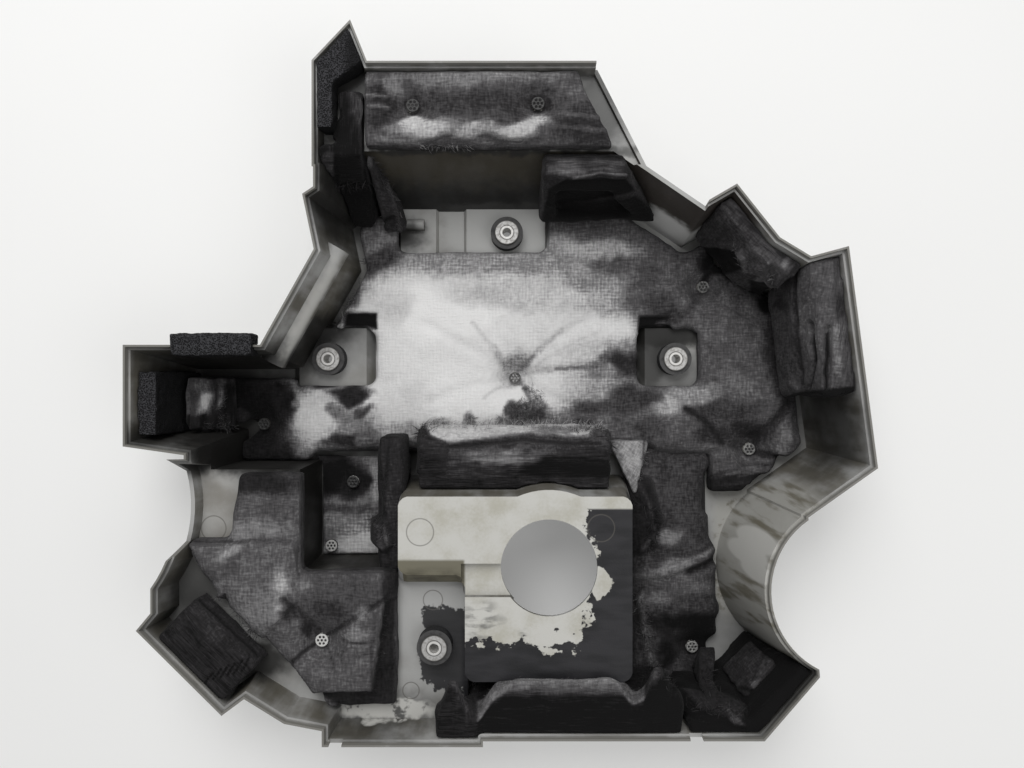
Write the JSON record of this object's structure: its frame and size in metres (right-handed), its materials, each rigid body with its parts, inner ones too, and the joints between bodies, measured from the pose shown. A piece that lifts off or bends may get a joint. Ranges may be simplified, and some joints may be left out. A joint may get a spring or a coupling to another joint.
{
  "type": "engine cover",
  "caption": "Moulded plastic engine cover, underside up, lined with sooty fleece-faced foam pads, with rubber grommets and a round filler hole in a stepped well.",
  "frame": {"origin": "on the deck's outer face, near the middle of the cover", "axes": "+Z points out of the open underside; +X is the cover's right and +Y its back, seen from the open side"},
  "size_m": [0.52, 0.501, 0.095],
  "materials": {
    "shell_plastic": "light grey moulded plastic, scuffed and stained",
    "fleece": "grey scrim-woven fleece over foam, sooty",
    "foam": "black open-cell foam",
    "grommet_rubber": "black rubber, dusty",
    "sleeve_zinc": "zinc-plated steel, dulled"
  },
  "bodies": {
    "root": {"cover_shell": "shell_plastic", "main_pad": "fleece", "strip_pad": "fleece", "bay_pad": "fleece", "plateau_pad": "fleece", "wing_block": "fleece", "band_pad": "fleece", "tower_felt": "fleece", "corner_flap": "fleece", "house_block": "fleece", "left_wall_pad": "fleece", "diagonal_wall_pad": "fleece", "right_wall_pad": "fleece", "front_wall_pad": "fleece", "corner_wall_pad": "fleece", "corner_strap": "fleece", "corner_patch": "fleece", "left_flap": "fleece", "well_roll": "fleece", "well_flap": "fleece", "bay_strip": "foam", "tower_foam": "foam", "edge_strip": "foam", "grommet_back": "grommet_rubber", "grommet_left": "grommet_rubber", "grommet_right": "grommet_rubber", "grommet_front": "grommet_rubber", "sleeve_back": "sleeve_zinc", "sleeve_left": "sleeve_zinc", "sleeve_right": "sleeve_zinc", "sleeve_front": "sleeve_zinc"}
  },
  "joints": []
}
